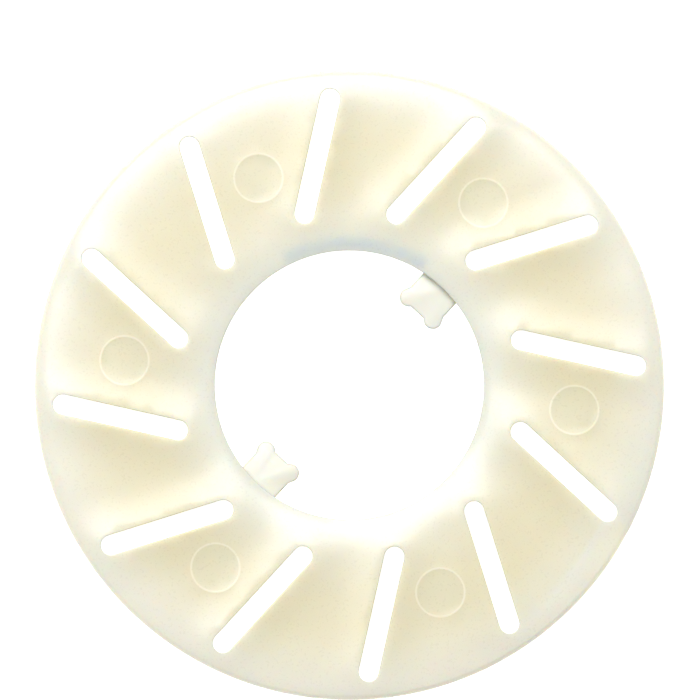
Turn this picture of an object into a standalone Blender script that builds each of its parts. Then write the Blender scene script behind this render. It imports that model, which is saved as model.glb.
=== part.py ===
"""Walk-on developing reel for roll film, set to 35 mm film.

Two spiral flanges, mirror images where film enters, stand on a telescoping hub. The lower flange
carries the outer sleeve; the inner sleeve slides in it to suit wider film, and the upper flange
turns on the inner sleeve so that the film can be walked in past a steel ball beside each film entry.

Blender 4.5. Metres, +Z up along the reel's axis, origin at the middle of the face it lies on.
"""

from math import asin, cos, pi, radians, sin

import bmesh
import bpy
from mathutils import Matrix, Vector

MM = 0.001
GAP = 0.3 * MM                       # clearance between neighbouring pieces

# --- driving dimensions -------------------------------------------------------------------------
FILM_GAP = 35.2 * MM                 # groove floor to groove floor, for 35 mm film
PLATE = 2.2 * MM                     # thickness of a flange plate
HEIGHT = FILM_GAP + 2 * PLATE
FLANGE_RADIUS = 48.0 * MM
BORE_RADIUS = 20.5 * MM
RIM_ROUND = 0.8 * MM                 # outer edge of a flange
EDGE_ROUND = 0.3 * MM                # every other turned edge

# Spiral ribs that guide the film's edges
RIB_PITCH = 2.8 * MM
RIB_THICKNESS = 0.9 * MM
RIB_HEIGHT = 2.0 * MM
RIB_TURNS = 7.5
RIB_OUTER_RADIUS = 47.4 * MM
RIB_ROOT = 0.3 * MM                  # how deep a rib is rooted in the plate
ENTRY_ANGLE = radians(-28)           # where the outermost rib begins and film enters

# Drain slots
SLOT_COUNT = 12
SLOT_WIDTH = 3.0 * MM
SLOT_OFFSET = 12.4 * MM              # distance from the axis to a slot's centreline
SLOT_HEADING = radians(-12.6)        # direction of the first slot's centreline
SLOT_START = 22.5 * MM               # tips, measured along the centreline
SLOT_END = 43.5 * MM

# Film lead-in: a shallow ramp in the inner face, deepest where the rib begins
RAMP_DEPTH = 0.9 * MM
RAMP_LENGTH = 17.0 * MM
RAMP_INNER_RADIUS = 45.6 * MM

# Hub sleeves
INNER_SLEEVE = (20.9 * MM, 22.6 * MM)            # inner and outer radius
OUTER_SLEEVE = (22.9 * MM, 24.5 * MM)
INNER_SLEEVE_TOP = HEIGHT - PLATE - GAP
OUTER_SLEEVE_TOP = 32.0 * MM
SLEEVE_SEAT_DEPTH = 1.2 * MM                     # groove in the lower flange for the outer sleeve
COLLAR_LENGTH = 4.2 * MM                         # collar under the upper flange
KEY_ANGLES = (radians(137), radians(317))
KEY_WIDTH = 2.4 * MM
KEY_HEIGHT = 0.9 * MM
KEY_RISE = 1.0 * MM                              # length of the key along the axis
KEY_BOTTOM = OUTER_SLEEVE_TOP - 1.4 * MM
FINGER_WIDTH = 4.0 * MM                          # spring finger that carries the key
FINGER_SLIT = 0.7 * MM
FINGER_LENGTH = 8.0 * MM
DIMPLE_DEPTH = 0.4 * MM
DIMPLE_HALF_WIDTH = 1.2 * MM
FILM_STEPS = (0.0, 11.0 * MM, 26.5 * MM)         # hub extension for 35 mm, 127 and 120 film

# Drive tabs in the bore
TAB_ANGLES = (radians(47), radians(227))
TAB_HALF_WIDTH = 3.4 * MM
TAB_TOP = INNER_SLEEVE_TOP - 0.3 * MM
TAB_THICKNESS = 3.2 * MM
SHOULDER_RADIUS = 17.3 * MM                      # distance from the axis to where the sides end
LOBE_RADIUS = 1.4 * MM
LOBE_CENTRE = (15.95 * MM, 2.5 * MM)             # distance from the axis, and across the tab
LOBE_ARC = (radians(60), radians(235))           # the part of the lobe's circle that shows
NOTCH_RADIUS = 15.15 * MM                        # distance from the axis to the notch's bottom
NOTCH_HALF_WIDTH = 0.66 * MM                     # of the flat at the notch's bottom

# Retaining ring between the collar and the inner sleeve
RING = (22.1 * MM, 23.4 * MM)
RING_BOTTOM = HEIGHT - PLATE - 3.0 * MM
RING_THICKNESS = 0.8 * MM
RING_OPENING = radians(14)
RING_OPENING_ANGLE = radians(227)

# Walk stop: a lug on the inner sleeve in an arc recess of the upper flange
WALK_TRAVEL = radians(45)
STOP_LUG = (21.6 * MM, 22.3 * MM)
STOP_LUG_ANGLE = radians(110)
STOP_LUG_HALF_ARC = radians(5)
STOP_LUG_HEIGHT = 0.9 * MM
STOP_LUG_ROOT = 0.5 * MM                         # how deep the lug is rooted in the sleeve
STOP_PLAY = radians(1.5)

# Film-gripping balls and their cages
BALL_RADIUS = 1.6 * MM
BALL_ANGLE = radians(-14)
BALL_DEPTH = PLATE + GAP + BALL_RADIUS           # ball centre below the flange's outer face
GRIP_POINT = Vector((44.8 * MM, -1.5 * MM))      # radial and tangential place of the gripping ball
RELEASE_POINT = Vector((44.0 * MM, 1.5 * MM))
CHANNEL_RADIUS = BALL_RADIUS + 0.2 * MM
CAGE_RADIAL = (40.2 * MM, 46.0 * MM)
CAGE_HALF_LENGTH = 4.3 * MM
CAGE_FLOOR = 0.9 * MM
CAGE_CORNER = 0.6 * MM
PEG_RADIUS = 0.8 * MM
PEG_LENGTH = 1.0 * MM
PEG_PLACES = ((41.5 * MM, -3.0 * MM), (41.5 * MM, 3.0 * MM))

FLANGE_STEPS = 60                    # facets round a flange
SLEEVE_STEPS = 40                    # facets round a hub piece
RIB_STEPS = 28                       # facets in one turn of a rib
RIM_STEPS = 2                        # facets across a flange's rounded rim
SLOT_END_STEPS = 4                   # facets round a slot's end
LOBE_STEPS = 7                       # facets round a tab's lobe
CORNER_STEPS = 2                     # facets across a ball cage's rounded corner
PEG_SIDES = 12
CHANNEL_SIDES = 20
BALL_SEGMENTS = 14
BALL_RINGS = 8
ARC_FACET = radians(9)               # angle of one facet of an arc-shaped block
SHARP_ANGLE = radians(32)            # edges sharper than this aren't shaded smooth
FLAT_ANGLE = radians(0.05)           # faces within this angle count as one flat face
WELD_DISTANCE = 0.001 * MM
SEAM_DISTANCE = 0.01 * MM            # joins the first and last facet of a turned piece
CUT_OVERSHOOT = 1.0 * MM             # how far a cutter runs past what it cuts
EMPTY_SIZE = 10.0 * MM

IVORY = ("ivory_nylon", (0.86, 0.80, 0.62, 1.0), 0.42, 0.0)
WHITE = ("white_nylon", (0.90, 0.88, 0.78, 1.0), 0.40, 0.0)
STEEL = ("bearing_steel", (0.62, 0.62, 0.63, 1.0), 0.18, 1.0)

parts = None
cutters = None


# --- scene and materials ------------------------------------------------------------------------
def clear_scene():
    for item in list(bpy.data.objects):
        bpy.data.objects.remove(item)


def new_collection(name):
    collection = bpy.data.collections.new(name)
    bpy.context.scene.collection.children.link(collection)
    return collection


def material(finish):
    name, colour, roughness, metallic = finish
    found = bpy.data.materials.get(name)
    if found:
        return found
    made = bpy.data.materials.new(name)
    made.use_nodes = True
    shader = made.node_tree.nodes["Principled BSDF"]
    shader.inputs["Base Color"].default_value = colour
    shader.inputs["Roughness"].default_value = roughness
    shader.inputs["Metallic"].default_value = metallic
    return made


def add_object(name, mesh, collection):
    item = bpy.data.objects.new(name, mesh)
    collection.objects.link(item)
    if collection == cutters:
        item.hide_render = True
        item.display_type = 'WIRE'
    return item


def evaluated_mesh(item):
    bpy.context.view_layer.update()
    depsgraph = bpy.context.evaluated_depsgraph_get()
    return bpy.data.meshes.new_from_object(item.evaluated_get(depsgraph))


def finish_part(item, finish, parent):
    """Apply the modifiers, shade the round faces smooth and hang the part on its joint's empty."""
    mesh = evaluated_mesh(item)
    item.modifiers.clear()
    item.data = mesh
    mesh.name = item.name
    mesh.materials.clear()
    mesh.materials.append(material(finish))
    mesh.shade_smooth()
    mesh.set_sharp_from_angle(angle=SHARP_ANGLE)
    item.parent = parent
    return item


def empty(name, parent=None):
    item = bpy.data.objects.new(name, None)
    item.empty_display_size = EMPTY_SIZE
    parts.objects.link(item)
    item.parent = parent
    return item


def merge_flat_faces(item):
    """Join coplanar facets, so that what is cut next isn't split along each of their edges."""
    merge = item.modifiers.new("merge_flat", 'DECIMATE')
    merge.decimate_type = 'DISSOLVE'
    merge.angle_limit = FLAT_ANGLE
    return merge


def boolean(item, operation, other):
    step = item.modifiers.new(operation.lower() + "_" + other.name, 'BOOLEAN')
    step.operation = operation
    step.object = other
    step.solver = 'EXACT'
    return step


# --- shape helpers ------------------------------------------------------------------------------
def polar(radius, angle):
    return (radius * cos(angle), radius * sin(angle))


def arc(centre, radius, start, end, steps):
    """Points along an arc, both ends included."""
    points = []
    for index in range(steps + 1):
        angle = start + (end - start) * index / steps
        points.append((centre[0] + radius * cos(angle), centre[1] + radius * sin(angle)))
    return points


def turned(name, profile, steps, collection):
    """Solid of revolution from a closed profile of (radius, z) points, outer side running down."""
    mesh = bpy.data.meshes.new(name)
    shape = bmesh.new()
    corners = [shape.verts.new((radius, 0.0, z)) for radius, z in profile]
    for index, corner in enumerate(corners):
        shape.edges.new((corner, corners[(index + 1) % len(corners)]))
    shape.to_mesh(mesh)
    shape.free()
    item = add_object(name, mesh, collection)
    screw = item.modifiers.new("turn", 'SCREW')
    screw.axis = 'Z'
    screw.angle = 2 * pi
    screw.steps = steps
    screw.render_steps = steps
    screw.use_merge_vertices = True
    screw.merge_threshold = SEAM_DISTANCE
    return item


def ring_profile(inner, outer, bottom, top, edge):
    """Rectangular ring section with its four corners chamfered by edge."""
    return [(outer - edge, top), (outer, top - edge), (outer, bottom + edge), (outer - edge, bottom),
            (inner + edge, bottom), (inner, bottom + edge), (inner, top - edge), (inner + edge, top)]


def prism(name, outline, bottom, top, collection):
    """Upright prism from a flat outline, as a welded mesh."""
    curve = bpy.data.curves.new(name, 'CURVE')
    curve.dimensions = '2D'
    curve.fill_mode = 'BOTH'
    curve.extrude = (top - bottom) / 2
    spline = curve.splines.new('POLY')
    spline.points.add(len(outline) - 1)
    for point, (x, y) in zip(spline.points, outline):
        point.co = (x, y, 0.0, 1.0)
    spline.use_cyclic_u = True
    outline_object = add_object(name + "_outline", curve, cutters)
    outline_object.location.z = (top + bottom) / 2
    mesh = evaluated_mesh(outline_object)
    mesh.transform(outline_object.matrix_world)
    bpy.data.objects.remove(outline_object)
    weld(mesh)
    return add_object(name, mesh, collection)


def weld(mesh):
    shape = bmesh.new()
    shape.from_mesh(mesh)
    bmesh.ops.remove_doubles(shape, verts=shape.verts, dist=WELD_DISTANCE)
    bmesh.ops.recalc_face_normals(shape, faces=shape.faces)
    shape.to_mesh(mesh)
    shape.free()


def box(name, low, high, angle=0.0, collection=None):
    """Box between two corners, turned about the reel's axis by angle."""
    mesh = bpy.data.meshes.new(name)
    shape = bmesh.new()
    bmesh.ops.create_cube(shape, size=1.0)
    low = Vector(low)
    high = Vector(high)
    size = high - low
    stretch = Matrix.Diagonal((size.x, size.y, size.z, 1.0))
    place = Matrix.Rotation(angle, 4, 'Z') @ Matrix.Translation((low + high) / 2)
    bmesh.ops.transform(shape, matrix=place @ stretch, verts=shape.verts)
    shape.to_mesh(mesh)
    shape.free()
    return add_object(name, mesh, collection or cutters)


def arc_block(name, radii, start, end, bottom, top, collection):
    """Block between two radii and two angles."""
    steps = max(2, round((end - start) / ARC_FACET))
    outline = arc((0.0, 0.0), radii[1], start, end, steps)
    outline += arc((0.0, 0.0), radii[0], end, start, steps)
    return prism(name, outline, bottom, top, collection)


def level(side, depth):
    """Height of a plane at a depth below the outer face of the 'lower' or the 'upper' flange."""
    if side == "lower":
        return depth
    return HEIGHT - depth


def span(side, near, far):
    """Heights of two depths, lowest first."""
    return sorted((level(side, near), level(side, far)))


# --- flanges ------------------------------------------------------------------------------------
def lower_plate_profile():
    """Section of the lower flange, with the groove that seats the outer sleeve."""
    seat_inner = OUTER_SLEEVE[0] - GAP
    seat_outer = OUTER_SLEEVE[1] + GAP
    rim = arc((FLANGE_RADIUS - RIM_ROUND, RIM_ROUND), RIM_ROUND, 0.0, -pi / 2, RIM_STEPS)
    return [(FLANGE_RADIUS - EDGE_ROUND, PLATE), (FLANGE_RADIUS, PLATE - EDGE_ROUND), *rim,
            (BORE_RADIUS + EDGE_ROUND, 0.0), (BORE_RADIUS, EDGE_ROUND), (BORE_RADIUS, PLATE),
            (seat_inner, PLATE), (seat_inner, PLATE - SLEEVE_SEAT_DEPTH),
            (seat_outer, PLATE - SLEEVE_SEAT_DEPTH), (seat_outer, PLATE)]


def upper_plate_profile():
    """Section of the upper flange, with its collar and the retaining ring's groove."""
    inside = HEIGHT - PLATE
    groove_radius = RING[1] + GAP
    groove_bottom = RING_BOTTOM - GAP
    groove_top = RING_BOTTOM + RING_THICKNESS + GAP
    rim = arc((FLANGE_RADIUS - RIM_ROUND, HEIGHT - RIM_ROUND), RIM_ROUND, pi / 2, 0.0, RIM_STEPS)
    return [*rim, (FLANGE_RADIUS, inside + EDGE_ROUND), (FLANGE_RADIUS - EDGE_ROUND, inside),
            (OUTER_SLEEVE[1], inside), (OUTER_SLEEVE[1], inside - COLLAR_LENGTH),
            (OUTER_SLEEVE[0], inside - COLLAR_LENGTH), (OUTER_SLEEVE[0], groove_bottom),
            (groove_radius, groove_bottom), (groove_radius, groove_top), (OUTER_SLEEVE[0], groove_top),
            (OUTER_SLEEVE[0], inside), (BORE_RADIUS, inside), (BORE_RADIUS, HEIGHT - EDGE_ROUND),
            (BORE_RADIUS + EDGE_ROUND, HEIGHT)]


def spiral_ribs(side):
    """One continuous rib, winding inwards anticlockwise from the film entry."""
    name = side + "_ribs"
    root = level(side, PLATE - RIB_ROOT)
    tip = level(side, PLATE + RIB_HEIGHT)
    mesh = bpy.data.meshes.new(name)
    shape = bmesh.new()
    count = round(RIB_STEPS * RIB_TURNS)
    previous = None
    for index in range(count + 1):
        turns = index / RIB_STEPS
        x, y = polar(RIB_OUTER_RADIUS - RIB_PITCH * turns, ENTRY_ANGLE + 2 * pi * turns)
        pair = (shape.verts.new((x, y, root)), shape.verts.new((x, y, tip)))
        if previous:
            shape.faces.new((previous[0], pair[0], pair[1], previous[1]))
        previous = pair
    shape.to_mesh(mesh)
    shape.free()
    item = add_object(name, mesh, cutters)
    wall = item.modifiers.new("wall", 'SOLIDIFY')
    wall.thickness = RIB_THICKNESS
    wall.offset = 0.0
    bottom, top = span(side, PLATE - RIB_ROOT / 2, PLATE + 2 * RIB_HEIGHT)
    clearing = box(side + "_cage_clearing", (CAGE_RADIAL[0] - GAP, -CAGE_HALF_LENGTH - GAP, bottom),
                   (CAGE_RADIAL[1] + GAP, CAGE_HALF_LENGTH + GAP, top), BALL_ANGLE)
    boolean(item, 'DIFFERENCE', clearing)
    return item


def slot_cutters(side):
    """All the drain slots of one flange in a single cutter."""
    bottom, top = span(side, -CUT_OVERSHOOT, PLATE + RIB_HEIGHT + CUT_OVERSHOOT)
    half = SLOT_WIDTH / 2
    outline = arc((SLOT_END - half, SLOT_OFFSET), half, -pi / 2, pi / 2, SLOT_END_STEPS)
    outline += arc((SLOT_START + half, SLOT_OFFSET), half, pi / 2, 3 * pi / 2, SLOT_END_STEPS)
    pattern = prism(side + "_slots", outline, bottom, top, cutters)
    shape = bmesh.new()
    for index in range(SLOT_COUNT):
        turn = Matrix.Rotation(SLOT_HEADING + 2 * pi * index / SLOT_COUNT, 4, 'Z')
        known = len(shape.verts)
        shape.from_mesh(pattern.data)
        shape.verts.ensure_lookup_table()
        bmesh.ops.transform(shape, matrix=turn, verts=shape.verts[known:])
    shape.to_mesh(pattern.data)
    shape.free()
    return pattern


def entry_ramp(side):
    """Tilted box that thins the plate's inner face in front of the film entry."""
    bottom, top = span(side, PLATE, PLATE + 2 * RIB_HEIGHT)
    ramp = box(side + "_ramp", (RAMP_INNER_RADIUS, -RAMP_LENGTH, bottom),
               (FLANGE_RADIUS + CUT_OVERSHOOT, 0.0, top))
    slope = asin(RAMP_DEPTH / RAMP_LENGTH)
    edge = Vector((0.0, -RAMP_LENGTH, level(side, PLATE)))
    tilt = Matrix.Rotation(-slope if side == "lower" else slope, 4, 'X')
    hinge = Matrix.Translation(edge) @ tilt @ Matrix.Translation(-edge)
    ramp.data.transform(Matrix.Rotation(ENTRY_ANGLE, 4, 'Z') @ hinge)
    return ramp


def peg_holes(side):
    """Two blind holes in the plate's inner face for the ball cage's pegs."""
    bottom, top = span(side, PLATE - PEG_LENGTH, PLATE + RIB_HEIGHT)
    holes = []
    for index, place in enumerate(PEG_PLACES):
        holes.append(peg(side + "_peg_hole_%d" % index, place, PEG_RADIUS + GAP, bottom, top))
    return holes


def peg(name, place, radius, bottom, top):
    """Upright cylinder at a radial and tangential place beside the film entry."""
    mesh = bpy.data.meshes.new(name)
    shape = bmesh.new()
    bmesh.ops.create_cone(shape, cap_ends=True, segments=PEG_SIDES, radius1=radius, radius2=radius,
                          depth=top - bottom)
    middle = Vector((place[0], place[1], (bottom + top) / 2))
    bmesh.ops.transform(shape, matrix=Matrix.Rotation(BALL_ANGLE, 4, 'Z') @ Matrix.Translation(middle),
                        verts=shape.verts)
    shape.to_mesh(mesh)
    shape.free()
    return add_object(name, mesh, cutters)


def flange(side, parent):
    profile = lower_plate_profile() if side == "lower" else upper_plate_profile()
    item = turned(side + "_flange", profile, FLANGE_STEPS, parts)
    merge_flat_faces(item)
    boolean(item, 'UNION', spiral_ribs(side))
    boolean(item, 'DIFFERENCE', slot_cutters(side))
    boolean(item, 'DIFFERENCE', entry_ramp(side))
    for hole in peg_holes(side):
        boolean(item, 'DIFFERENCE', hole)
    if side == "upper":
        boolean(item, 'DIFFERENCE', stop_recess())
    return finish_part(item, IVORY, parent)


def stop_recess():
    """Arc recess under the upper flange that the walk stop's lug runs in."""
    radii = (STOP_LUG[0] - GAP, STOP_LUG[1] + GAP)
    start = STOP_LUG_ANGLE - STOP_LUG_HALF_ARC - WALK_TRAVEL - STOP_PLAY
    end = STOP_LUG_ANGLE + STOP_LUG_HALF_ARC + STOP_PLAY
    inside = HEIGHT - PLATE
    return arc_block("stop_recess", radii, start, end, inside - CUT_OVERSHOOT,
                     inside + STOP_LUG_HEIGHT + GAP, cutters)


# --- hub ----------------------------------------------------------------------------------------
def tab_outline():
    """Drive tab seen from above, pointing along -X from the sleeve, with a notch in its end."""
    root = (INNER_SLEEVE[0] + INNER_SLEEVE[1]) / 2
    half = [(root, TAB_HALF_WIDTH), (SHOULDER_RADIUS, TAB_HALF_WIDTH)]
    half += arc(LOBE_CENTRE, LOBE_RADIUS, *LOBE_ARC, LOBE_STEPS)
    half.append((NOTCH_RADIUS, NOTCH_HALF_WIDTH))
    mirrored = [(x, -y) for x, y in reversed(half)]
    return half + mirrored


def inner_sleeve(parent):
    bottom = PLATE + GAP
    groove_inner = RING[0] - GAP
    groove_bottom = RING_BOTTOM - GAP
    groove_top = RING_BOTTOM + RING_THICKNESS + GAP
    inner, outer = INNER_SLEEVE
    profile = [(outer - EDGE_ROUND, INNER_SLEEVE_TOP), (outer, INNER_SLEEVE_TOP - EDGE_ROUND),
               (outer, groove_top), (groove_inner, groove_top), (groove_inner, groove_bottom),
               (outer, groove_bottom), (outer, bottom + EDGE_ROUND), (outer - EDGE_ROUND, bottom),
               (inner, bottom), (inner, INNER_SLEEVE_TOP)]
    item = turned("inner_sleeve", profile, SLEEVE_STEPS, parts)
    for index, angle in enumerate(TAB_ANGLES):
        tab = prism("tab_%d" % index, tab_outline(), TAB_TOP - TAB_THICKNESS, TAB_TOP, cutters)
        tab.data.transform(Matrix.Rotation(angle, 4, 'Z'))
        boolean(item, 'UNION', tab)
    lug = arc_block("stop_lug", STOP_LUG, STOP_LUG_ANGLE - STOP_LUG_HALF_ARC,
                    STOP_LUG_ANGLE + STOP_LUG_HALF_ARC, INNER_SLEEVE_TOP - STOP_LUG_ROOT,
                    INNER_SLEEVE_TOP + STOP_LUG_HEIGHT, cutters)
    boolean(item, 'UNION', lug)
    half_way = KEY_WIDTH / 2 + GAP
    way_floor = OUTER_SLEEVE[0] - KEY_HEIGHT - GAP
    for index, angle in enumerate(KEY_ANGLES):
        way = box("keyway_%d" % index, (way_floor, -half_way, KEY_BOTTOM - FILM_STEPS[-1] - GAP),
                  (outer + CUT_OVERSHOOT, half_way, KEY_BOTTOM + KEY_RISE + GAP), angle)
        boolean(item, 'DIFFERENCE', way)
        for step, extension in enumerate(FILM_STEPS):
            low = KEY_BOTTOM - extension - GAP / 2
            dimple = box("dimple_%d_%d" % (index, step),
                         (way_floor - DIMPLE_DEPTH, -DIMPLE_HALF_WIDTH, low),
                         (outer, DIMPLE_HALF_WIDTH, low + KEY_RISE + GAP), angle)
            boolean(item, 'DIFFERENCE', dimple)
    return finish_part(item, WHITE, parent)


def outer_sleeve(parent):
    inner, outer = OUTER_SLEEVE
    bottom = PLATE - SLEEVE_SEAT_DEPTH + GAP
    item = turned("outer_sleeve", ring_profile(inner, outer, bottom, OUTER_SLEEVE_TOP, EDGE_ROUND),
                  SLEEVE_STEPS, parts)
    for index, angle in enumerate(KEY_ANGLES):
        key = box("key_%d" % index, (inner - KEY_HEIGHT, -KEY_WIDTH / 2, KEY_BOTTOM),
                  ((inner + outer) / 2, KEY_WIDTH / 2, KEY_BOTTOM + KEY_RISE), angle)
        boolean(item, 'UNION', key)
        for side in (-1, 1):
            edges = sorted((side * FINGER_WIDTH / 2, side * (FINGER_WIDTH / 2 + FINGER_SLIT)))
            slit = box("slit_%d_%d" % (index, side),
                       (inner - CUT_OVERSHOOT, edges[0], OUTER_SLEEVE_TOP - FINGER_LENGTH),
                       (outer + CUT_OVERSHOOT, edges[1], OUTER_SLEEVE_TOP + CUT_OVERSHOOT), angle)
            boolean(item, 'DIFFERENCE', slit)
    return finish_part(item, WHITE, parent)


def retaining_ring(parent):
    start = RING_OPENING_ANGLE + RING_OPENING / 2
    end = RING_OPENING_ANGLE - RING_OPENING / 2 + 2 * pi
    item = arc_block("retaining_ring", RING, start, end, RING_BOTTOM, RING_BOTTOM + RING_THICKNESS, parts)
    return finish_part(item, WHITE, parent)


# --- balls and cages ----------------------------------------------------------------------------
def beside_entry(place, side, depth):
    """World position of a radial and tangential place beside a flange's film entry."""
    turn = Matrix.Rotation(BALL_ANGLE, 3, 'Z')
    return turn @ Vector((place[0], place[1], level(side, depth)))


def ball(side, parent):
    name = side + "_ball"
    mesh = bpy.data.meshes.new(name)
    shape = bmesh.new()
    bmesh.ops.create_uvsphere(shape, u_segments=BALL_SEGMENTS, v_segments=BALL_RINGS, radius=BALL_RADIUS)
    shape.to_mesh(mesh)
    shape.free()
    item = add_object(name, mesh, parts)
    item.location = beside_entry(GRIP_POINT, side, BALL_DEPTH)
    return finish_part(item, STEEL, parent)


def ball_channel(side):
    """Round-bottomed trough that the ball rolls along, open towards the plate."""
    name = side + "_channel"
    travel = RELEASE_POINT - GRIP_POINT
    middle = (RELEASE_POINT + GRIP_POINT) / 2
    length = travel.length + 2 * CHANNEL_RADIUS
    heading = travel.to_3d().to_track_quat('Z', 'Y').to_matrix().to_4x4()
    centre = Vector((middle.x, middle.y, level(side, BALL_DEPTH)))
    mesh = bpy.data.meshes.new(name)
    shape = bmesh.new()
    bmesh.ops.create_cone(shape, cap_ends=True, segments=CHANNEL_SIDES, radius1=CHANNEL_RADIUS,
                          radius2=CHANNEL_RADIUS, depth=length)
    place = Matrix.Rotation(BALL_ANGLE, 4, 'Z') @ Matrix.Translation(centre) @ heading
    bmesh.ops.transform(shape, matrix=place, verts=shape.verts)
    shape.to_mesh(mesh)
    shape.free()
    trough = add_object(name, mesh, cutters)
    bottom, top = span(side, 0.0, BALL_DEPTH)
    mouth = box(name + "_mouth", (-CHANNEL_RADIUS, -length / 2, bottom), (CHANNEL_RADIUS, length / 2, top))
    aim = Matrix.Rotation(travel.to_3d().to_track_quat('Y', 'Z').to_euler().z, 4, 'Z')
    mouth.data.transform(Matrix.Rotation(BALL_ANGLE, 4, 'Z')
                         @ Matrix.Translation((middle.x, middle.y, 0.0)) @ aim)
    boolean(trough, 'UNION', mouth)
    return trough


def ball_cage(side, parent):
    """Block that keeps the ball beside the film's path, pegged to the plate."""
    far = BALL_DEPTH + CHANNEL_RADIUS + CAGE_FLOOR
    bottom, top = span(side, PLATE + GAP, far)
    item = box(side + "_ball_cage", (CAGE_RADIAL[0], -CAGE_HALF_LENGTH, bottom),
               (CAGE_RADIAL[1], CAGE_HALF_LENGTH, top), BALL_ANGLE, parts)
    rounding = item.modifiers.new("corners", 'BEVEL')
    rounding.width = CAGE_CORNER
    rounding.segments = CORNER_STEPS
    boolean(item, 'DIFFERENCE', ball_channel(side))
    for index, place in enumerate(PEG_PLACES):
        low, high = span(side, PLATE + GAP - PEG_LENGTH, PLATE + 2 * GAP + CAGE_CORNER)
        boolean(item, 'UNION', peg(side + "_peg_%d" % index, place, PEG_RADIUS, low, high))
    return finish_part(item, WHITE, parent)


# --- assembly -----------------------------------------------------------------------------------
def build():
    global parts, cutters
    clear_scene()
    parts = new_collection("developing_reel")
    cutters = new_collection("cutters")
    base = empty("lower_base")
    core = empty("core_slide", base)
    walk = empty("walk_axis", core)
    flange("lower", base)
    outer_sleeve(base)
    ball_cage("lower", base)
    ball("lower", base)
    inner_sleeve(core)
    retaining_ring(core)
    flange("upper", walk)
    ball_cage("upper", walk)
    ball("upper", walk)


build()
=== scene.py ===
"""Looks of the developing reel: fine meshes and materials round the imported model."""

from math import asin, atan2, ceil, cos, hypot, pi, radians, sin

import bmesh
import bpy
from mathutils import Matrix, Vector
from mathutils.geometry import delaunay_2d_cdt


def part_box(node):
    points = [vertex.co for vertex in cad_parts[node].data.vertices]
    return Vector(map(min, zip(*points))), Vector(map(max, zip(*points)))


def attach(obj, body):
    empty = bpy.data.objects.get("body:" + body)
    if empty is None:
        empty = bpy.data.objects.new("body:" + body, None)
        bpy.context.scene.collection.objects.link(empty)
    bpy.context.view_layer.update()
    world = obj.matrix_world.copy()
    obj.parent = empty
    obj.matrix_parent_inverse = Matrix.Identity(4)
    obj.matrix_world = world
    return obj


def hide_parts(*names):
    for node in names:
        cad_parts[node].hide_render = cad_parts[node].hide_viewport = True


MM = 0.001

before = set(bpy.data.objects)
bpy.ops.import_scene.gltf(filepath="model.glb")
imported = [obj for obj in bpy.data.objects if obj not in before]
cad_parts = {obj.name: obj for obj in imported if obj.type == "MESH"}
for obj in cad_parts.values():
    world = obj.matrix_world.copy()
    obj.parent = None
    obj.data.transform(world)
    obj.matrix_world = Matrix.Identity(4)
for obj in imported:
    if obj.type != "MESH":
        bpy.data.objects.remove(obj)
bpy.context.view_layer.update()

# --- sizes read from the frame ------------------------------------------------------------------
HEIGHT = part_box("upper_flange")[1].z
FLANGE_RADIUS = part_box("upper_flange")[1].x
INNER_SLEEVE_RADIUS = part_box("inner_sleeve")[1].x
OUTER_SLEEVE_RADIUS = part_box("outer_sleeve")[1].x
INNER_SLEEVE_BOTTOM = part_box("inner_sleeve")[0].z
OUTER_SLEEVE_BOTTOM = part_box("outer_sleeve")[0].z
OUTER_SLEEVE_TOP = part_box("outer_sleeve")[1].z
RING_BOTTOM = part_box("retaining_ring")[0].z
RING_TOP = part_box("retaining_ring")[1].z
RING_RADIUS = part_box("retaining_ring")[1].x
COLLAR_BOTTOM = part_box("upper_flange")[0].z

# --- sizes of the design ------------------------------------------------------------------------
GAP = 0.3 * MM                       # running clearance, and the small rounds that go with it
PLATE = 2.2 * MM                     # thickness of a flange's plate
BORE_RADIUS = 20.5 * MM
RIM_ROUND = 0.8 * MM
SLOT_ROUND = 0.15 * MM

RIB_PITCH = 2.8 * MM
RIB_THICKNESS = 0.9 * MM
RIB_HEIGHT = 2.0 * MM
RIB_TURNS = 7.5
RIB_OUTER_RADIUS = FLANGE_RADIUS - 0.6 * MM
RIB_ROOT = 0.3 * MM                  # how far ribs and collar reach into the plate
RIB_ROUND = 0.22 * MM
RIB_CUT_MARGIN = 0.01 * MM           # keeps the ribs' ends off the slots' walls
ENTRY_ANGLE = radians(-28)

SLOT_COUNT = 12
SLOT_WIDTH = 3.0 * MM
SLOT_OFFSET = 12.4 * MM
SLOT_HEADING = radians(-12.6)
SLOT_START = 22.5 * MM
SLOT_END = 43.5 * MM

RAMP_DEPTH = 0.9 * MM
RAMP_LENGTH = 17.0 * MM
RAMP_INNER_RADIUS = 45.6 * MM
THIN_ARC = radians(30)               # painted glow: the plastic is painted paler over this arc, where the ramp thins it and light shows through

INNER_BORE = 20.9 * MM
OUTER_BORE = 22.9 * MM
INNER_SLEEVE_TOP = HEIGHT - PLATE - GAP
SLEEVE_SEAT_DEPTH = 1.2 * MM
KEY_ANGLES = (radians(137), radians(317))
KEY_WIDTH = 2.4 * MM
KEY_HEIGHT = 0.9 * MM
KEY_RISE = 1.0 * MM
KEY_BOTTOM = OUTER_SLEEVE_TOP - 1.4 * MM
FINGER_WIDTH = 4.0 * MM
FINGER_SLIT = 0.7 * MM
FINGER_LENGTH = 8.0 * MM
DIMPLE_DEPTH = 0.4 * MM
DIMPLE_HALF_WIDTH = 1.2 * MM
FILM_STEPS = (0.0, 11.0 * MM, 26.5 * MM)     # extra width for 35 mm, 127 and 120 film
CUT_OVERSHOOT = 1.0 * MM             # how far a cutter reaches past the surface it cuts

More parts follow.
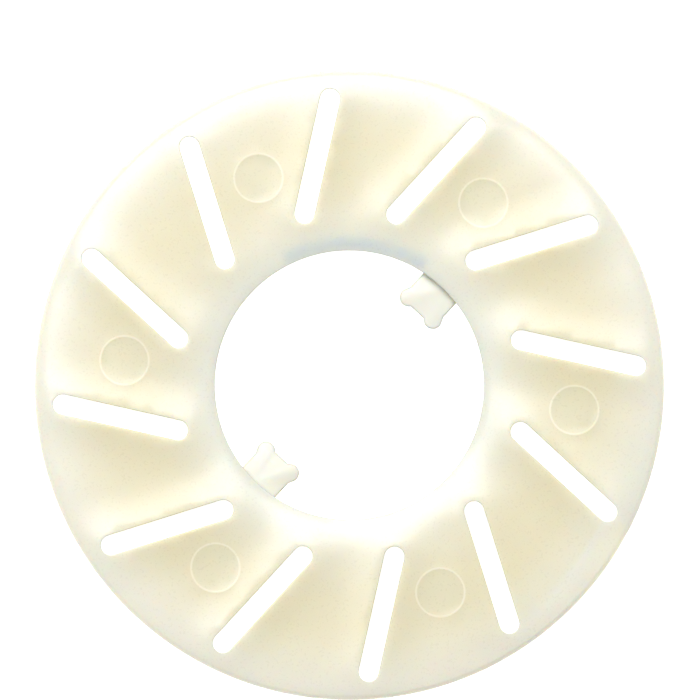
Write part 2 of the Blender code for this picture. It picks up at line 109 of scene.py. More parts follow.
TAB_ANGLES = (radians(47), radians(227))
TAB_HALF_WIDTH = 3.4 * MM
TAB_TOP = INNER_SLEEVE_TOP - 0.3 * MM
TAB_THICKNESS = 3.2 * MM
TAB_ROOT = INNER_BORE + 0.5 * MM     # where a tab ends inside the sleeve's wall
TAB_ROUND = 0.35 * MM
SHOULDER_RADIUS = 17.3 * MM
LOBE_RADIUS = 1.4 * MM
LOBE_CENTRE = (15.95 * MM, 2.5 * MM)
LOBE_ARC = (radians(60), radians(235))
NOTCH_RADIUS = 15.15 * MM
NOTCH_HALF_WIDTH = 0.66 * MM

RING_INNER_RADIUS = 22.1 * MM
RING_OPENING = radians(14)
RING_OPENING_ANGLE = radians(227)
RING_ROUND = 0.12 * MM

WALK_TRAVEL = radians(45)
STOP_LUG = (21.6 * MM, 22.3 * MM)
STOP_LUG_ANGLE = radians(110)
STOP_LUG_HALF_ARC = radians(5)
STOP_LUG_HEIGHT = 0.9 * MM
STOP_LUG_ROOT = 0.5 * MM
STOP_PLAY = radians(1.5)

BALL_RADIUS = 1.6 * MM
BALL_ANGLE = radians(-14)
BALL_DEPTH = PLATE + GAP + BALL_RADIUS
GRIP_POINT = Vector((44.8 * MM, -1.5 * MM))
RELEASE_POINT = Vector((44.0 * MM, 1.5 * MM))
CHANNEL_RADIUS = BALL_RADIUS + 0.2 * MM
CAGE_RADIAL = (40.2 * MM, 46.0 * MM)
CAGE_HALF_LENGTH = 4.3 * MM
CAGE_FLOOR = 0.9 * MM
CAGE_ROUND = 0.5 * MM

# Relief of the outer faces: the blades between slots are dished, the plate falls towards the bore
# and the rim, and six round ejector marks are left by the mould
MARK_COUNT = 6
MARK_RADIUS = 3.7 * MM
MARK_CENTRE_RADIUS = 34.5 * MM
MARK_ANGLE = radians(-6.3)
MARK_DEPTH = 0.004 * MM
MARK_FLASH = 0.01 * MM               # height of the fine ring of flash round a mark
MARK_EDGE = 0.16 * MM                # width of either side of that ring
BORE_FALL = 0.46 * MM
BORE_FALL_START = 25.0 * MM
RIM_FALL = 0.36 * MM
RIM_FALL_START = 43.0 * MM
SINK_DEPTH = 0.42 * MM
SINK_REACH = 6.5 * MM                # distance from a slot's edge at which a blade is at its lowest

PLATE_SPACING = 1.5 * MM             # distance between the plate mesh's points
CHORD_ALLOWANCE = 0.02 * MM          # how far a slot's straight mesh edges cut inside its round end
ROUND_STEPS = 3                      # rows of faces across a rounded edge
SLEEVE_STEPS = 160
LOBE_STEPS = 18
RIB_STEPS = 84                       # steps of the ribs' spiral in one turn
RIM_STEPS = 240
BORE_STEPS = 144
MARK_STEPS = 48
BALL_STEPS = 48
MERGE_DISTANCE = 0.01 * MM
SHARP_ANGLE = 40
FLANGE_SHARP_ANGLE = 38

# Colours
IVORY_DEEP = (0.75, 0.70, 0.49, 1.0)
# IVORY_PALE also serves as painted glow towards the bore, the rim and the film entry
IVORY_PALE = (0.80, 0.80, 0.71, 1.0)
IVORY_MARK = (0.68, 0.67, 0.50, 1.0)
IVORY_RING = (0.90, 0.87, 0.72, 1.0)
WHITE_DEEP = (0.78, 0.77, 0.67, 1.0)
WHITE_PALE = (0.84, 0.84, 0.77, 1.0)
STEEL = (0.58, 0.58, 0.60, 1.0)

# Camera: the picture's width on the object, and where its middle looks
PICTURE_WIDTH = 106.7 * MM
PICTURE_CENTRE = Vector((0.09 * MM, 5.36 * MM))
CAMERA_HEIGHT = 0.5
LIGHT_DISTANCE = 1.4


# --- small helpers ------------------------------------------------------------------------------
def clamp(value, low=0.0, high=1.0):
    return max(low, min(high, value))


def arc(centre, radius, start, end, steps):
    """Points along an arc, both ends included."""
    points = []
    for index in range(steps + 1):
        angle = start + (end - start) * index / steps
        points.append((centre[0] + radius * cos(angle), centre[1] + radius * sin(angle)))
    return points


def add_mesh(name, mesh):
    item = bpy.data.objects.new(name, mesh)
    bpy.context.scene.collection.objects.link(item)
    return item


def mesh_from(name, shape):
    mesh = bpy.data.meshes.new(name)
    shape.to_mesh(mesh)
    shape.free()
    return mesh


def applied(item):
    """Replace an object's mesh by its evaluated one, and drop the modifiers."""
    bpy.context.view_layer.update()
    depsgraph = bpy.context.evaluated_depsgraph_get()
    mesh = bpy.data.meshes.new_from_object(item.evaluated_get(depsgraph))
    item.modifiers.clear()
    item.data = mesh
    return item


def discard(item):
    bpy.data.objects.remove(item)


def combine(item, operation, other):
    """Boolean of two objects; the second one is used up."""
    step = item.modifiers.new("step", 'BOOLEAN')
    step.operation = operation
    step.object = other
    applied(item)
    discard(other)
    return item


def bevelled(item, width, segments, angle=SHARP_ANGLE):
    step = item.modifiers.new("edges", 'BEVEL')
    step.width = width
    step.segments = segments
    step.limit_method = 'ANGLE'
    step.angle_limit = radians(angle)
    return applied(item)


def smooth(item, angle=SHARP_ANGLE):
    item.data.shade_smooth()
    item.data.set_sharp_from_angle(angle=radians(angle))
    return item


def joined(name, items):
    """One object with the meshes of several, which are used up."""
    shape = bmesh.new()
    for item in items:
        item.data.transform(item.matrix_world)
        shape.from_mesh(item.data)
        discard(item)
    return add_mesh(name, mesh_from(name, shape))


def box(name, low, high, angle=0.0):
    """Box between two corners, turned about the reel's axis by angle."""
    shape = bmesh.new()
    bmesh.ops.create_cube(shape, size=1.0)
    low = Vector(low)
    high = Vector(high)
    size = high - low
    stretch = Matrix.Diagonal((size.x, size.y, size.z, 1.0))
    place = Matrix.Rotation(angle, 4, 'Z') @ Matrix.Translation((low + high) / 2)
    bmesh.ops.transform(shape, matrix=place @ stretch, verts=shape.verts)
    return add_mesh(name, mesh_from(name, shape))


def prism(name, outline, bottom, top):
    """Upright prism from a flat outline that runs anticlockwise."""
    shape = bmesh.new()
    base = shape.faces.new([shape.verts.new((x, y, bottom)) for x, y in outline])
    made = bmesh.ops.extrude_face_region(shape, geom=[base])
    moved = [part for part in made["geom"] if isinstance(part, bmesh.types.BMVert)]
    bmesh.ops.translate(shape, vec=(0.0, 0.0, top - bottom), verts=moved)
    bmesh.ops.recalc_face_normals(shape, faces=shape.faces)
    return add_mesh(name, mesh_from(name, shape))


def arc_block(name, radii, start, end, bottom, top):
    """Block between two radii and two angles."""
    steps = max(4, ceil((end - start) / radians(2.5)))
    outline = arc((0.0, 0.0), radii[1], start, end, steps)
    outline += arc((0.0, 0.0), radii[0], end, start, steps)
    return prism(name, outline, bottom, top)


def turned(name, profile, steps):
    """Solid of revolution from a closed profile of (radius, z) points, outer side running down."""
    shape = bmesh.new()
    corners = [shape.verts.new((radius, 0.0, z)) for radius, z in profile]
    for index, corner in enumerate(corners):
        shape.edges.new((corner, corners[(index + 1) % len(corners)]))
    item = add_mesh(name, mesh_from(name, shape))
    screw = item.modifiers.new("turn", 'SCREW')
    screw.axis = 'Z'
    screw.angle = 2 * pi
    screw.steps = steps
    screw.render_steps = steps
    screw.use_merge_vertices = True
    screw.merge_threshold = MERGE_DISTANCE
    return applied(item)


def rounded_corner(corner, inward, radius, steps=3):
    """Points of a quarter round at a profile's corner, from the axial side to the radial side.

    inward holds the signs that lead from the corner into the material, along the radius and z."""
    centre = (corner[0] + inward[0] * radius, corner[1] + inward[1] * radius)
    points = []
    for index in range(steps + 1):
        turn = pi / 2 * index / steps
        points.append((centre[0] - inward[0] * radius * sin(turn),
                       centre[1] - inward[1] * radius * cos(turn)))
    return points


def level(side, depth):
    """Height of a plane at a depth below the outer face of the 'lower' or the 'upper' flange."""
    return depth if side == "lower" else HEIGHT - depth


def span(side, near, far):
    return sorted((level(side, near), level(side, far)))


# --- flange plate -------------------------------------------------------------------------------
def slot_axis(index):
    angle = SLOT_HEADING + 2 * pi * index / SLOT_COUNT
    return Vector((cos(angle), sin(angle))), Vector((-sin(angle), cos(angle)))


def slot_outline(index, margin, end_steps=10):
    """Outline of a slot grown by a margin, with points along its straight sides too."""
    along, across = slot_axis(index)
    half = SLOT_WIDTH / 2
    first = SLOT_START + half
    last = SLOT_END - half
    sides = ceil((last - first) / PLATE_SPACING)
    local = []
    for step in range(sides):
        local.append((first + (last - first) * step / sides, -half - margin))
    local += arc((last, 0.0), half + margin, -pi / 2, pi / 2, end_steps)
    for step in range(1, sides):
        local.append((last - (last - first) * step / sides, half + margin))
    local += arc((first, 0.0), half + margin, pi / 2, 3 * pi / 2, end_steps)[:-1]
    return [tuple(along * x + across * (y + SLOT_OFFSET)) for x, y in local]


def slot_distance(x, y):
    """Distance from a point to the nearest slot's edge; negative inside a slot."""
    half = SLOT_WIDTH / 2
    nearest = FLANGE_RADIUS
    for index in range(SLOT_COUNT):
        along, across = slot_axis(index)
        place = x * along.x + y * along.y
        beside = x * across.x + y * across.y - SLOT_OFFSET
        overrun = place - clamp(place, SLOT_START + half, SLOT_END - half)
        nearest = min(nearest, hypot(overrun, beside) - half)
    return nearest


def circle(radius, count, centre=(0.0, 0.0)):
    return arc(centre, radius, 0.0, 2 * pi * (count - 1) / count, count - 1)


def mark_centre(index):
    angle = MARK_ANGLE + 2 * pi * index / MARK_COUNT
    return (MARK_CENTRE_RADIUS * cos(angle), MARK_CENTRE_RADIUS * sin(angle))


def mark_distance(x, y):
    """Distance from a point to the centre of the nearest ejector mark."""
    return min(hypot(x - mark_centre(i)[0], y - mark_centre(i)[1]) for i in range(MARK_COUNT))


def outer_relief(x, y):
    """How far the outer face lies below the flange's highest plane, edges' rounding left out."""
    radius = hypot(x, y)
    fall = BORE_FALL * clamp((BORE_FALL_START - radius) / (BORE_FALL_START - BORE_RADIUS)) ** 2
    fall += RIM_FALL * clamp((radius - RIM_FALL_START) / (FLANGE_RADIUS - RIM_FALL_START)) ** 2
    fall += SINK_DEPTH * (1 - (1 - clamp(slot_distance(x, y) / SINK_REACH)) ** 2)
    from_ring = (MARK_RADIUS - mark_distance(x, y)) / MARK_EDGE
    flash = MARK_FLASH * clamp(1 - abs(from_ring))
    return fall + MARK_DEPTH * clamp(from_ring) - flash


def plate_points():
    """Points of the plate's faces, edges of its loops, each point's drop, and the walls' loops.

    The loops follow the rim, the bore, the slots and the marks; rows of loops, each a little lower,
    round the edges. A drop is how far a point lies below the face because its edge is rounded."""
    points = []
    edges = []
    drops = []

    def add_loop(loop, drop):
        start = len(points)
        points.extend(Vector(point) for point in loop)
        drops.extend([drop] * len(loop))
        edges.extend((start + i, start + (i + 1) % len(loop)) for i in range(len(loop)))
        return start, len(loop)

    walls = []
    for row in range(ROUND_STEPS + 1):
        turn = pi / 2 * row / ROUND_STEPS
        share = 1 - cos(turn)
        fall = 1 - sin(turn)
        rim = add_loop(circle(FLANGE_RADIUS - RIM_ROUND * share, RIM_STEPS), RIM_ROUND * fall)
        bore = add_loop(circle(BORE_RADIUS + SLOT_ROUND * share, BORE_STEPS), SLOT_ROUND * fall)
        slots = [add_loop(slot_outline(i, SLOT_ROUND * share), SLOT_ROUND * fall)
                 for i in range(SLOT_COUNT)]
        if row == 0:
            walls = [rim, bore, *slots]
    for index in range(MARK_COUNT):
        for radius in (MARK_RADIUS - MARK_EDGE, MARK_RADIUS, MARK_RADIUS + MARK_EDGE):
            add_loop(circle(radius, MARK_STEPS, mark_centre(index)), 0.0)
    radius = BORE_RADIUS + 0.9 * PLATE_SPACING
    while radius < FLANGE_RADIUS - RIM_ROUND - 0.4 * PLATE_SPACING:
        count = round(2 * pi * radius / PLATE_SPACING)
        for x, y in circle(radius, count):
            clear_of_slots = slot_distance(x, y) > SLOT_ROUND + 0.35 * PLATE_SPACING
            clear_of_marks = abs(mark_distance(x, y) - MARK_RADIUS) > 0.35 * PLATE_SPACING
            if clear_of_slots and clear_of_marks:
                points.append(Vector((x, y)))
                drops.append(0.0)
        radius += PLATE_SPACING
    return points, edges, drops, walls


def plate(side):
    """Flange plate with rounded rim, bore and slots, and relief on its outer face."""
    points, edges, drops, walls = plate_points()
    flat, _, triangles, _, _, _ = delaunay_2d_cdt(points, edges, [], 0, 1e-9)
    shape = bmesh.new()
    outer = []
    inner = []
    for index, point in enumerate(flat):
        drop = drops[index]
        fall = drop + outer_relief(point.x, point.y)
        outer.append(shape.verts.new((point.x, point.y, level(side, fall))))
        inner.append(shape.verts.new((point.x, point.y, level(side, PLATE - 0.5 * drop))))
    for triangle in triangles:
        middle = sum((flat[i] for i in triangle), Vector((0.0, 0.0))) / 3
        in_slot = slot_distance(middle.x, middle.y) < -CHORD_ALLOWANCE
        if middle.length > BORE_RADIUS and not in_slot:
            shape.faces.new([outer[i] for i in triangle])
            shape.faces.new([inner[i] for i in reversed(triangle)])
    for start, count in walls:
        for index in range(count):
            a = start + index
            b = start + (index + 1) % count
            shape.faces.new((outer[a], outer[b], inner[b], inner[a]))
    bmesh.ops.delete(shape, geom=[v for v in shape.verts if not v.link_faces], context='VERTS')
    bmesh.ops.recalc_face_normals(shape, faces=shape.faces)
    return add_mesh(side + "_plate", mesh_from(side + "_plate", shape))


# --- flange details -----------------------------------------------------------------------------
def spiral_rib(side):
    """The spiral rib that guides the film's edge, interrupted at the slots and the ball cage."""
    root = level(side, PLATE - RIB_ROOT)
    tip = level(side, PLATE + RIB_HEIGHT)
    shape = bmesh.new()
    previous = None
    for index in range(round(RIB_STEPS * RIB_TURNS) + 1):
        turns = index / RIB_STEPS
        radius = RIB_OUTER_RADIUS - RIB_PITCH * turns
        angle = ENTRY_ANGLE + 2 * pi * turns
        x, y = radius * cos(angle), radius * sin(angle)
        pair = (shape.verts.new((x, y, root)), shape.verts.new((x, y, tip)))
        if previous:
            shape.faces.new((previous[0], pair[0], pair[1], previous[1]))
        previous = pair
    item = add_mesh(side + "_rib", mesh_from(side + "_rib", shape))
    wall = item.modifiers.new("wall", 'SOLIDIFY')
    wall.thickness = RIB_THICKNESS
    wall.offset = 0.0
    applied(item)
    bevelled(item, RIB_ROUND, 2, 60)
    bottom, top = span(side, 0.5 * PLATE, PLATE + 2 * RIB_HEIGHT)
    cutters = [prism("slot", slot_outline(i, RIB_CUT_MARGIN), bottom, top)
               for i in range(SLOT_COUNT)]
    low, high = span(side, PLATE - 0.5 * RIB_ROOT, PLATE + 2 * RIB_HEIGHT)
    cutters.append(box("cage_clearing", (CAGE_RADIAL[0] - GAP, -CAGE_HALF_LENGTH - GAP, low),
                       (CAGE_RADIAL[1] + GAP, CAGE_HALF_LENGTH + GAP, high), BALL_ANGLE))
    return combine(item, 'DIFFERENCE', joined("rib_cutters", cutters))


def entry_ramp(side):
    """Tilted box that thins the plate's inner face in front of the film entry."""
    bottom, top = span(side, PLATE, PLATE + 2 * RIB_HEIGHT)
    ramp = box("ramp", (RAMP_INNER_RADIUS, -RAMP_LENGTH, bottom),
               (FLANGE_RADIUS + RIM_ROUND, 0.0, top))
    slope = asin(RAMP_DEPTH / RAMP_LENGTH)
    edge = Vector((0.0, -RAMP_LENGTH, level(side, PLATE)))
    tilt = Matrix.Rotation(-slope if side == "lower" else slope, 4, 'X')
    hinge = Matrix.Translation(edge) @ tilt @ Matrix.Translation(-edge)
    ramp.data.transform(Matrix.Rotation(ENTRY_ANGLE, 4, 'Z') @ hinge)
    return ramp


def collar():
    """Collar under the upper flange, with the retaining ring's groove."""
    inside = HEIGHT - PLATE
    groove_low = RING_BOTTOM - GAP
    groove_high = RING_TOP + GAP
    groove_radius = RING_RADIUS + GAP
    outer_round = rounded_corner((OUTER_SLEEVE_RADIUS, COLLAR_BOTTOM), (-1, 1), GAP)[::-1]
    profile = [(OUTER_SLEEVE_RADIUS, inside + RIB_ROOT), *outer_round,
               (OUTER_BORE, COLLAR_BOTTOM), (OUTER_BORE, groove_low),
               (groove_radius, groove_low), (groove_radius, groove_high),
               (OUTER_BORE, groove_high), (OUTER_BORE, inside + RIB_ROOT)]
    return turned("collar", profile, SLEEVE_STEPS)


def stop_recess():
    """Arc recess under the upper flange that the walk stop's lug runs in."""
    radii = (STOP_LUG[0] - GAP, STOP_LUG[1] + GAP)
    start = STOP_LUG_ANGLE - STOP_LUG_HALF_ARC - WALK_TRAVEL - STOP_PLAY
    end = STOP_LUG_ANGLE + STOP_LUG_HALF_ARC + STOP_PLAY
    inside = HEIGHT - PLATE
    return arc_block("stop_recess", radii, start, end,
                     inside - PLATE, inside + STOP_LUG_HEIGHT + GAP)


def sleeve_seat():
    """Groove in the lower flange that the outer sleeve stands in."""
    inner, outer = OUTER_BORE - GAP, OUTER_SLEEVE_RADIUS + GAP
    low, high = PLATE - SLEEVE_SEAT_DEPTH, PLATE + RIB_HEIGHT
    return turned("seat", [(outer, high), (outer, low), (inner, low), (inner, high)], SLEEVE_STEPS)


def flange(side):
    item = plate(side)
    item.name = side + "_flange_moulding"
    ribs_and_collar = [spiral_rib(side)]
    cuts = [entry_ramp(side)]
    if side == "upper":
        ribs_and_collar.append(collar())
        cuts.append(stop_recess())
    else:
        cuts.append(sleeve_seat())
    for cut in cuts:
        combine(item, 'DIFFERENCE', cut)
    combine(item, 'UNION', joined("ribs_and_collar", ribs_and_collar))
    return smooth(item, FLANGE_SHARP_ANGLE)


# --- hub ----------------------------------------------------------------------------------------
def tab_outline():
    """Drive tab seen from above, pointing inward along -X, with a notch between two lobes."""
    half = [(TAB_ROOT, TAB_HALF_WIDTH), (SHOULDER_RADIUS, TAB_HALF_WIDTH)]
    half += arc(LOBE_CENTRE, LOBE_RADIUS, *LOBE_ARC, LOBE_STEPS)
    half.append((NOTCH_RADIUS, NOTCH_HALF_WIDTH))
    mirrored = [(x, -y) for x, y in reversed(half)]
    return half + mirrored


def drive_tab(angle):
    tab = prism("tab", tab_outline(), TAB_TOP - TAB_THICKNESS, TAB_TOP)
    bevelled(tab, TAB_ROUND, 3, 50)
    tab.data.transform(Matrix.Rotation(angle, 4, 'Z'))
    return tab


def inner_sleeve():
    bottom, top = INNER_SLEEVE_BOTTOM, INNER_SLEEVE_TOP
    inner, outer = INNER_BORE, INNER_SLEEVE_RADIUS
    groove = RING_INNER_RADIUS - GAP
    low, high = RING_BOTTOM - GAP, RING_TOP + GAP
    profile = [*rounded_corner((outer, top), (-1, -1), GAP),
               (outer, high), (groove, high), (groove, low), (outer, low),
               *rounded_corner((outer, bottom), (-1, 1), GAP)[::-1],
               *rounded_corner((inner, bottom), (1, 1), GAP),
               *rounded_corner((inner, top), (1, -1), GAP)[::-1]]
    item = turned("inner_sleeve_moulding", profile, SLEEVE_STEPS)
    additions = [drive_tab(angle) for angle in TAB_ANGLES]
    additions.append(arc_block("lug", STOP_LUG, STOP_LUG_ANGLE - STOP_LUG_HALF_ARC,
                               STOP_LUG_ANGLE + STOP_LUG_HALF_ARC,
                               top - STOP_LUG_ROOT, top + STOP_LUG_HEIGHT))
    combine(item, 'UNION', joined("sleeve_additions", additions))
    half_way = KEY_WIDTH / 2 + GAP
    way_floor = OUTER_BORE - KEY_HEIGHT - GAP
    for angle in KEY_ANGLES:
        way = box("keyway", (way_floor, -half_way, KEY_BOTTOM - FILM_STEPS[-1] - GAP),
                  (outer + CUT_OVERSHOOT, half_way, KEY_BOTTOM + KEY_RISE + GAP), angle)
        combine(item, 'DIFFERENCE', way)
        for extension in FILM_STEPS:
            floor = KEY_BOTTOM - extension - 0.5 * GAP
            dimple = box("dimple", (way_floor - DIMPLE_DEPTH, -DIMPLE_HALF_WIDTH, floor),
                         (outer, DIMPLE_HALF_WIDTH, floor + KEY_RISE + GAP), angle)
            combine(item, 'DIFFERENCE', dimple)
    return smooth(item)


def outer_sleeve():
    inner, outer = OUTER_BORE, OUTER_SLEEVE_RADIUS
    low, high = OUTER_SLEEVE_BOTTOM, OUTER_SLEEVE_TOP
    profile = [*rounded_corner((outer, high), (-1, -1), GAP),
               *rounded_corner((outer, low), (-1, 1), GAP)[::-1],
               *rounded_corner((inner, low), (1, 1), GAP),
               *rounded_corner((inner, high), (1, -1), GAP)[::-1]]
    item = turned("outer_sleeve_moulding", profile, SLEEVE_STEPS)
    for angle in KEY_ANGLES:
        key = box("key", (inner - KEY_HEIGHT, -KEY_WIDTH / 2, KEY_BOTTOM),
                  ((inner + outer) / 2, KEY_WIDTH / 2, KEY_BOTTOM + KEY_RISE), angle)
        combine(item, 'UNION', key)
        for side in (-1, 1):
            edges = sorted((side * FINGER_WIDTH / 2, side * (FINGER_WIDTH / 2 + FINGER_SLIT)))
            slit = box("slit", (inner - CUT_OVERSHOOT, edges[0], high - FINGER_LENGTH),
                       (outer + CUT_OVERSHOOT, edges[1], high + CUT_OVERSHOOT), angle)
            combine(item, 'DIFFERENCE', slit)
    return smooth(item)


def retaining_ring():
    start = RING_OPENING_ANGLE + RING_OPENING / 2
    end = RING_OPENING_ANGLE - RING_OPENING / 2 + 2 * pi
    item = arc_block("retaining_ring_moulding", (RING_INNER_RADIUS, RING_RADIUS), start, end,
                     RING_BOTTOM, RING_TOP)
    bevelled(item, RING_ROUND, 2)
    return smooth(item)


# --- balls and cages ----------------------------------------------------------------------------
def ball(side):
    shape = bmesh.new()
    bmesh.ops.create_uvsphere(shape, u_segments=BALL_STEPS, v_segments=BALL_STEPS // 2,
                              radius=BALL_RADIUS)
    item = add_mesh(side + "_steel_ball", mesh_from("ball", shape))
    place = Vector((GRIP_POINT.x, GRIP_POINT.y, level(side, BALL_DEPTH)))
    item.data.transform(Matrix.Rotation(BALL_ANGLE, 4, 'Z') @ Matrix.Translation(place))
    item.data.shade_smooth()
    return item


def ball_channel(side):
    """Round-bottomed trough that the ball rolls along, open towards the plate."""
    travel = (RELEASE_POINT - GRIP_POINT).to_3d()
    middle = (RELEASE_POINT + GRIP_POINT) / 2
    length = travel.length + 2 * CHANNEL_RADIUS
    centre = Vector((middle.x, middle.y, level(side, BALL_DEPTH)))
    turn = Matrix.Rotation(BALL_ANGLE, 4, 'Z')
    shape = bmesh.new()
    bmesh.ops.create_cone(shape, cap_ends=True, segments=BALL_STEPS, radius1=CHANNEL_RADIUS,
                          radius2=CHANNEL_RADIUS, depth=length)
    heading = travel.to_track_quat('Z', 'Y').to_matrix().to_4x4()
    place = turn @ Matrix.Translation(centre) @ heading
    bmesh.ops.transform(shape, matrix=place, verts=shape.verts)
    trough = add_mesh("channel", mesh_from("channel", shape))
    bottom, top = span(side, 0.0, BALL_DEPTH)
    mouth = box("mouth", (-CHANNEL_RADIUS, -length / 2, bottom), (CHANNEL_RADIUS, length / 2, top))
    aim = Matrix.Rotation(atan2(travel.y, travel.x) - pi / 2, 4, 'Z')
    mouth.data.transform(turn @ Matrix.Translation((middle.x, middle.y, 0.0)) @ aim)
    return combine(trough, 'UNION', mouth)


def ball_cage(side):
    bottom, top = span(side, PLATE + GAP, BALL_DEPTH + CHANNEL_RADIUS + CAGE_FLOOR)
    item = box(side + "_cage_moulding", (CAGE_RADIAL[0], -CAGE_HALF_LENGTH, bottom),
               (CAGE_RADIAL[1], CAGE_HALF_LENGTH, top), BALL_ANGLE)
    bevelled(item, CAGE_ROUND, 4)
    combine(item, 'DIFFERENCE', ball_channel(side))
    return smooth(item)


# --- materials ----------------------------------------------------------------------------------
def node_material(name):
    made = bpy.data.materials.new(name)
    made.use_nodes = True
    return made, made.node_tree.nodes, made.node_tree.links


def maths(made, operation, *values):
    """Math node whose inputs are other nodes' outputs or plain numbers; returns its output."""
    node = made.node_tree.nodes.new("ShaderNodeMath")
    node.operation = operation
    for socket, value in zip(node.inputs, values):
        if isinstance(value, bpy.types.NodeSocket):
            made.node_tree.links.new(value, socket)
        else:
            socket.default_value = value
    return node.outputs["Value"]


def ranged(made, value, start, end, low=0.0, high=1.0):
    """Value mapped from start..end to low..high, and held at the ends."""
    node = made.node_tree.nodes.new("ShaderNodeMapRange")
    made.node_tree.links.new(value, node.inputs["Value"])
    node.inputs["From Min"].default_value = start
    node.inputs["From Max"].default_value = end
    node.inputs["To Min"].default_value = low
    node.inputs["To Max"].default_value = high
    return node.outputs["Result"]


def noise(made, scale, detail):
    nodes, links = made.node_tree.nodes, made.node_tree.links
    place = nodes.new("ShaderNodeTexCoord")
    node = nodes.new("ShaderNodeTexNoise")
    node.inputs["Scale"].default_value = scale
    node.inputs["Detail"].default_value = detail
    links.new(place.outputs["Object"], node.inputs["Vector"])
    return node.outputs["Fac"]


def blended(made, amount, first, second):
    """Colour between two colours; either may be another node's output."""
    node = made.node_tree.nodes.new("ShaderNodeMix")
    node.data_type = 'RGBA'
    made.node_tree.links.new(amount, node.inputs["Factor"])
    for socket, colour in ((node.inputs[6], first), (node.inputs[7], second)):
        if isinstance(colour, bpy.types.NodeSocket):
            made.node_tree.links.new(colour, socket)
        else:
            socket.default_value = colour
    return node.outputs[2]


def coordinates(made):
    """Object-space x, y and z."""
    nodes, links = made.node_tree.nodes, made.node_tree.links
    place = nodes.new("ShaderNodeTexCoord")
    split = nodes.new("ShaderNodeSeparateXYZ")
    links.new(place.outputs["Object"], split.inputs["Vector"])
    return tuple(split.outputs)


def hypotenuse(made, first, second):
    """Length of the vector with two components."""
    squares = [maths(made, 'MULTIPLY', part, part) for part in (first, second)]
    return maths(made, 'SQRT', maths(made, 'ADD', *squares))


def nylon_shader(made, gloss_low, gloss_high, scatter):
    """Milky nylon's gloss, scattering and fine texture; the colour is left to the caller."""
    nodes, links = made.node_tree.nodes, made.node_tree.links
    shader = nodes["Principled BSDF"]
    shader.inputs["IOR"].default_value = 1.53
    shader.inputs["Subsurface Weight"].default_value = 1.0
    shader.inputs["Subsurface Radius"].default_value = (1.0, 0.75, 0.45)
    shader.inputs["Subsurface Scale"].default_value = scatter
    texture = noise(made, 3000.0, 2.0)
    links.new(ranged(made, texture, 0.3, 0.7, gloss_low, gloss_high), shader.inputs["Roughness"])
    wave = nodes.new("ShaderNodeBump")
    wave.inputs["Strength"].default_value = 0.5
    wave.inputs["Distance"].default_value = 0.08 * MM
    links.new(noise(made, 160.0, 2.0), wave.inputs["Height"])
    grain = nodes.new("ShaderNodeBump")
    grain.inputs["Strength"].default_value = 0.25
    grain.inputs["Distance"].default_value = 0.004 * MM
    links.new(texture, grain.inputs["Height"])
    links.new(wave.outputs["Normal"], grain.inputs["Normal"])
    links.new(grain.outputs["Normal"], shader.inputs["Normal"])
    return shader


def painted_glow_and_clouds(made, x, y, radius):
    """Painted glow: nought in the yellower middle of the flange, one where it is painted pale as
    lit milky plastic glows: bore, rim and entry; random clouds added.
    """
    to_bore = maths(made, 'POWER', ranged(made, radius, 33.0 * MM, 21.0 * MM), 1.5)
    to_rim = maths(made, 'POWER', ranged(made, radius, 37.0 * MM, 47.5 * MM), 1.3)
    edge = maths(made, 'MAXIMUM', to_bore, to_rim)
    clouds = ranged(made, noise(made, 45.0, 1.5), 0.2, 0.8, 0.0, 0.22)
    behind = maths(made, 'SUBTRACT', ENTRY_ANGLE, maths(made, 'ARCTAN2', y, x))
    behind = maths(made, 'WRAP', behind, 2 * pi, 0.0)
    thin_plastic_glow = maths(made, 'MULTIPLY', ranged(made, behind, 0.0, THIN_ARC, 1.0, 0.0),
                    ranged(made, radius, 43.3 * MM, 45.3 * MM))
    glow_and_clouds = maths(made, 'ADD', maths(made, 'ADD', edge, clouds),
                     maths(made, 'MULTIPLY', thin_plastic_glow, 0.9))
    glow_and_clouds.node.use_clamp = True
    return glow_and_clouds


def distance_to_mark(made, x, y, radius):
    """Distance in plan to the centre of the nearest ejector mark."""
    angle = maths(made, 'SUBTRACT', maths(made, 'ARCTAN2', y, x), MARK_ANGLE)
    folded = maths(made, 'WRAP', angle, pi / MARK_COUNT, -pi / MARK_COUNT)
    along = maths(made, 'MULTIPLY', radius, maths(made, 'COSINE', folded))
    across = maths(made, 'MULTIPLY', radius, maths(made, 'SINE', folded))
    return hypotenuse(made, maths(made, 'SUBTRACT', along, MARK_CENTRE_RADIUS), across)


def ivory_nylon():
    """Flange plastic: yellower between hub and rim, painted paler as a glow towards the bore, rim
    and entry, with pale rings round the ejector marks.
    """
    made, nodes, links = node_material("milky_ivory_nylon")
    shader = nylon_shader(made, 0.27, 0.29, 1.4 * MM)
    x, y, z = coordinates(made)
    radius = hypotenuse(made, x, y)
    # painted glow: paler towards the bore, rim and entry, mixed with random clouds of tone
    tone = blended(made, painted_glow_and_clouds(made, x, y, radius), IVORY_DEEP, IVORY_PALE)

    to_mark = distance_to_mark(made, x, y, radius)
    to_ring = maths(made, 'ABSOLUTE', maths(made, 'SUBTRACT', to_mark, MARK_RADIUS))
    from_middle = maths(made, 'ABSOLUTE', maths(made, 'SUBTRACT', z, HEIGHT / 2))
    outside = maths(made, 'GREATER_THAN', from_middle, HEIGHT / 2 - 0.4 * PLATE)
    disc = ranged(made, to_mark, MARK_RADIUS, MARK_RADIUS - MARK_EDGE, 0.0, 0.25)
    ring = ranged(made, to_ring, 0.22 * MM, 0.06 * MM, 0.0, 0.6)
    tone = blended(made, maths(made, 'MULTIPLY', disc, outside), tone, IVORY_MARK)
    tone = blended(made, maths(made, 'MULTIPLY', ring, outside), tone, IVORY_RING)
    links.new(tone, shader.inputs["Base Color"])
    return made


def white_nylon():
    made, nodes, links = node_material("milky_white_nylon")
    shader = nylon_shader(made, 0.30, 0.42, 1.0 * MM)
    clouds = ranged(made, noise(made, 80.0, 3.0), 0.3, 0.7)
    links.new(blended(made, clouds, WHITE_DEEP, WHITE_PALE), shader.inputs["Base Color"])
    return made


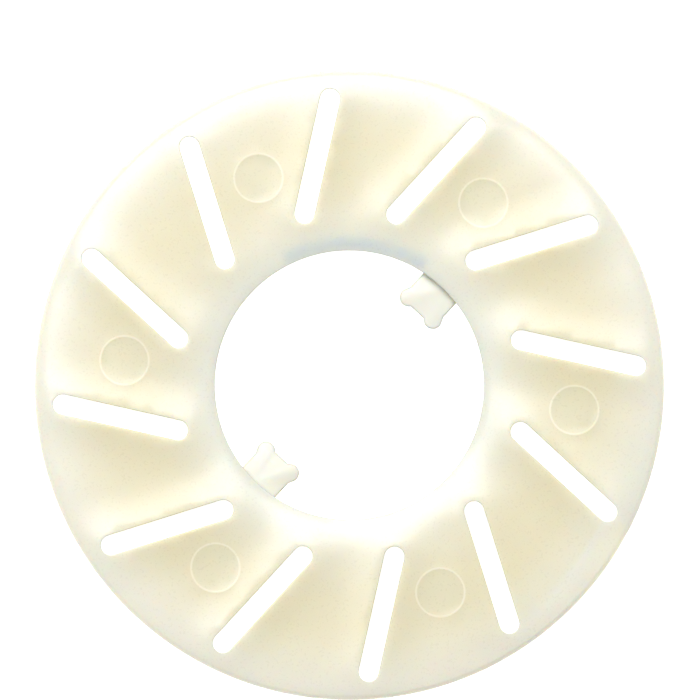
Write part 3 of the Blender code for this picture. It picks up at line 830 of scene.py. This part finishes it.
def polished_steel():
    made, nodes, links = node_material("polished_steel")
    shader = nodes["Principled BSDF"]
    shader.inputs["Metallic"].default_value = 1.0
    shader.inputs["Base Color"].default_value = STEEL
    haze = noise(made, 700.0, 2.0)
    links.new(ranged(made, haze, 0.0, 1.0, 0.10, 0.28), shader.inputs["Roughness"])
    return made


def floor_material():
    made, nodes, links = node_material("pale_floor")
    shader = nodes["Principled BSDF"]
    shader.inputs["Base Color"].default_value = (0.85, 0.85, 0.85, 1.0)
    shader.inputs["Roughness"].default_value = 0.9
    shader.inputs["Emission Color"].default_value = (1.0, 1.0, 1.0, 1.0)
    shader.inputs["Emission Strength"].default_value = 0.85
    return made


# --- stage --------------------------------------------------------------------------------------
def make_floor():
    shape = bmesh.new()
    bmesh.ops.create_grid(shape, x_segments=1, y_segments=1, size=4.0)
    floor = add_mesh("floor", mesh_from("floor", shape))
    floor.data.materials.append(floor_material())


def soft_light(name, azimuth, from_zenith, size, brightness):
    """Square softbox that looks at the reel; brightness is its surface's, white paper being 1."""
    light = bpy.data.lights.new(name, 'AREA')
    light.shape = 'SQUARE'
    light.size = size
    light.energy = brightness * pi * size * size
    lamp = bpy.data.objects.new(name, light)
    bpy.context.scene.collection.objects.link(lamp)
    aim = Vector((cos(azimuth) * sin(from_zenith), sin(azimuth) * sin(from_zenith),
                  cos(from_zenith)))
    lamp.location = LIGHT_DISTANCE * aim
    lamp.rotation_euler = aim.to_track_quat('Z', 'Y').to_euler()


def make_lights():
    world = bpy.data.worlds.new("studio")
    bpy.context.scene.world = world
    world.use_nodes = True
    sky = world.node_tree.nodes["Background"]
    sky.inputs["Color"].default_value = (1.0, 1.0, 1.0, 1.0)
    sky.inputs["Strength"].default_value = 0.2
    soft_light("key", radians(108), radians(21), 0.8, 9.95)


def make_camera():
    data = bpy.data.cameras.new("camera")
    data.type = 'ORTHO'
    data.ortho_scale = PICTURE_WIDTH
    camera = bpy.data.objects.new("camera", data)
    bpy.context.scene.collection.objects.link(camera)
    camera.location = (PICTURE_CENTRE.x, PICTURE_CENTRE.y, CAMERA_HEIGHT)
    bpy.context.scene.camera = camera
    bpy.context.scene.view_settings.view_transform = 'Standard'


# --- assembly -----------------------------------------------------------------------------------
def dress(piece, finish, body, node):
    piece.data.materials.clear()
    piece.data.materials.append(finish)
    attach(piece, body)
    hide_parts(node)


make_floor()
make_lights()
make_camera()

ivory = ivory_nylon()
white = white_nylon()
steel = polished_steel()

dress(flange("upper"), ivory, "upper", "upper_flange")
dress(flange("lower"), ivory, "lower", "lower_flange")
dress(inner_sleeve(), white, "core", "inner_sleeve")
dress(outer_sleeve(), white, "lower", "outer_sleeve")
dress(retaining_ring(), white, "core", "retaining_ring")
dress(ball_cage("upper"), white, "upper", "upper_ball_cage")
dress(ball_cage("lower"), white, "lower", "lower_ball_cage")
dress(ball("upper"), steel, "upper_ball", "upper_ball")
dress(ball("lower"), steel, "lower_ball", "lower_ball")
